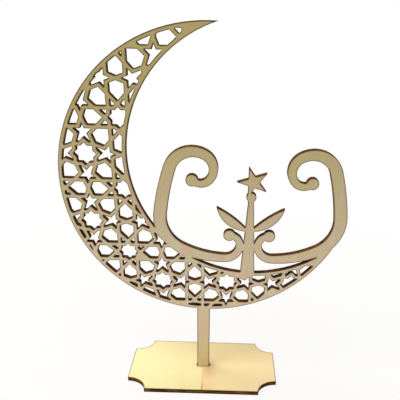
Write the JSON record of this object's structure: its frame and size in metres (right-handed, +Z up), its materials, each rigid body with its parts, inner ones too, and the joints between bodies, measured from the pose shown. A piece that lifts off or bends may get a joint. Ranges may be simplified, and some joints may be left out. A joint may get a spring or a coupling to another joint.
{
  "type": "crescent moon table ornament",
  "caption": "Flat wooden crescent moon with a pierced star lattice and scrollwork in its mouth, standing by a stem in a slotted base plate with bitten corners.",
  "frame": {"origin": "on the table under the middle of the base plate's slot", "axes": "+Z up, +X along the panel towards the crescent's open side, the front faces -Y"},
  "size_m": [0.1669, 0.048, 0.2211],
  "materials": {
    "panel_plywood": "bare sanded plywood with laser-browned cut edges",
    "base_plywood": "bare sanded plywood with laser-browned cut edges"
  },
  "bodies": {
    "base": {"base_plate": "base_plywood"},
    "panel": {"crescent_panel": "panel_plywood"}
  },
  "joints": [
    {"name": "panel_lift", "type": "slide", "parent": "base", "child": "panel", "axis": [0, 0, 1], "range_m": [0, 0.012]}
  ]
}
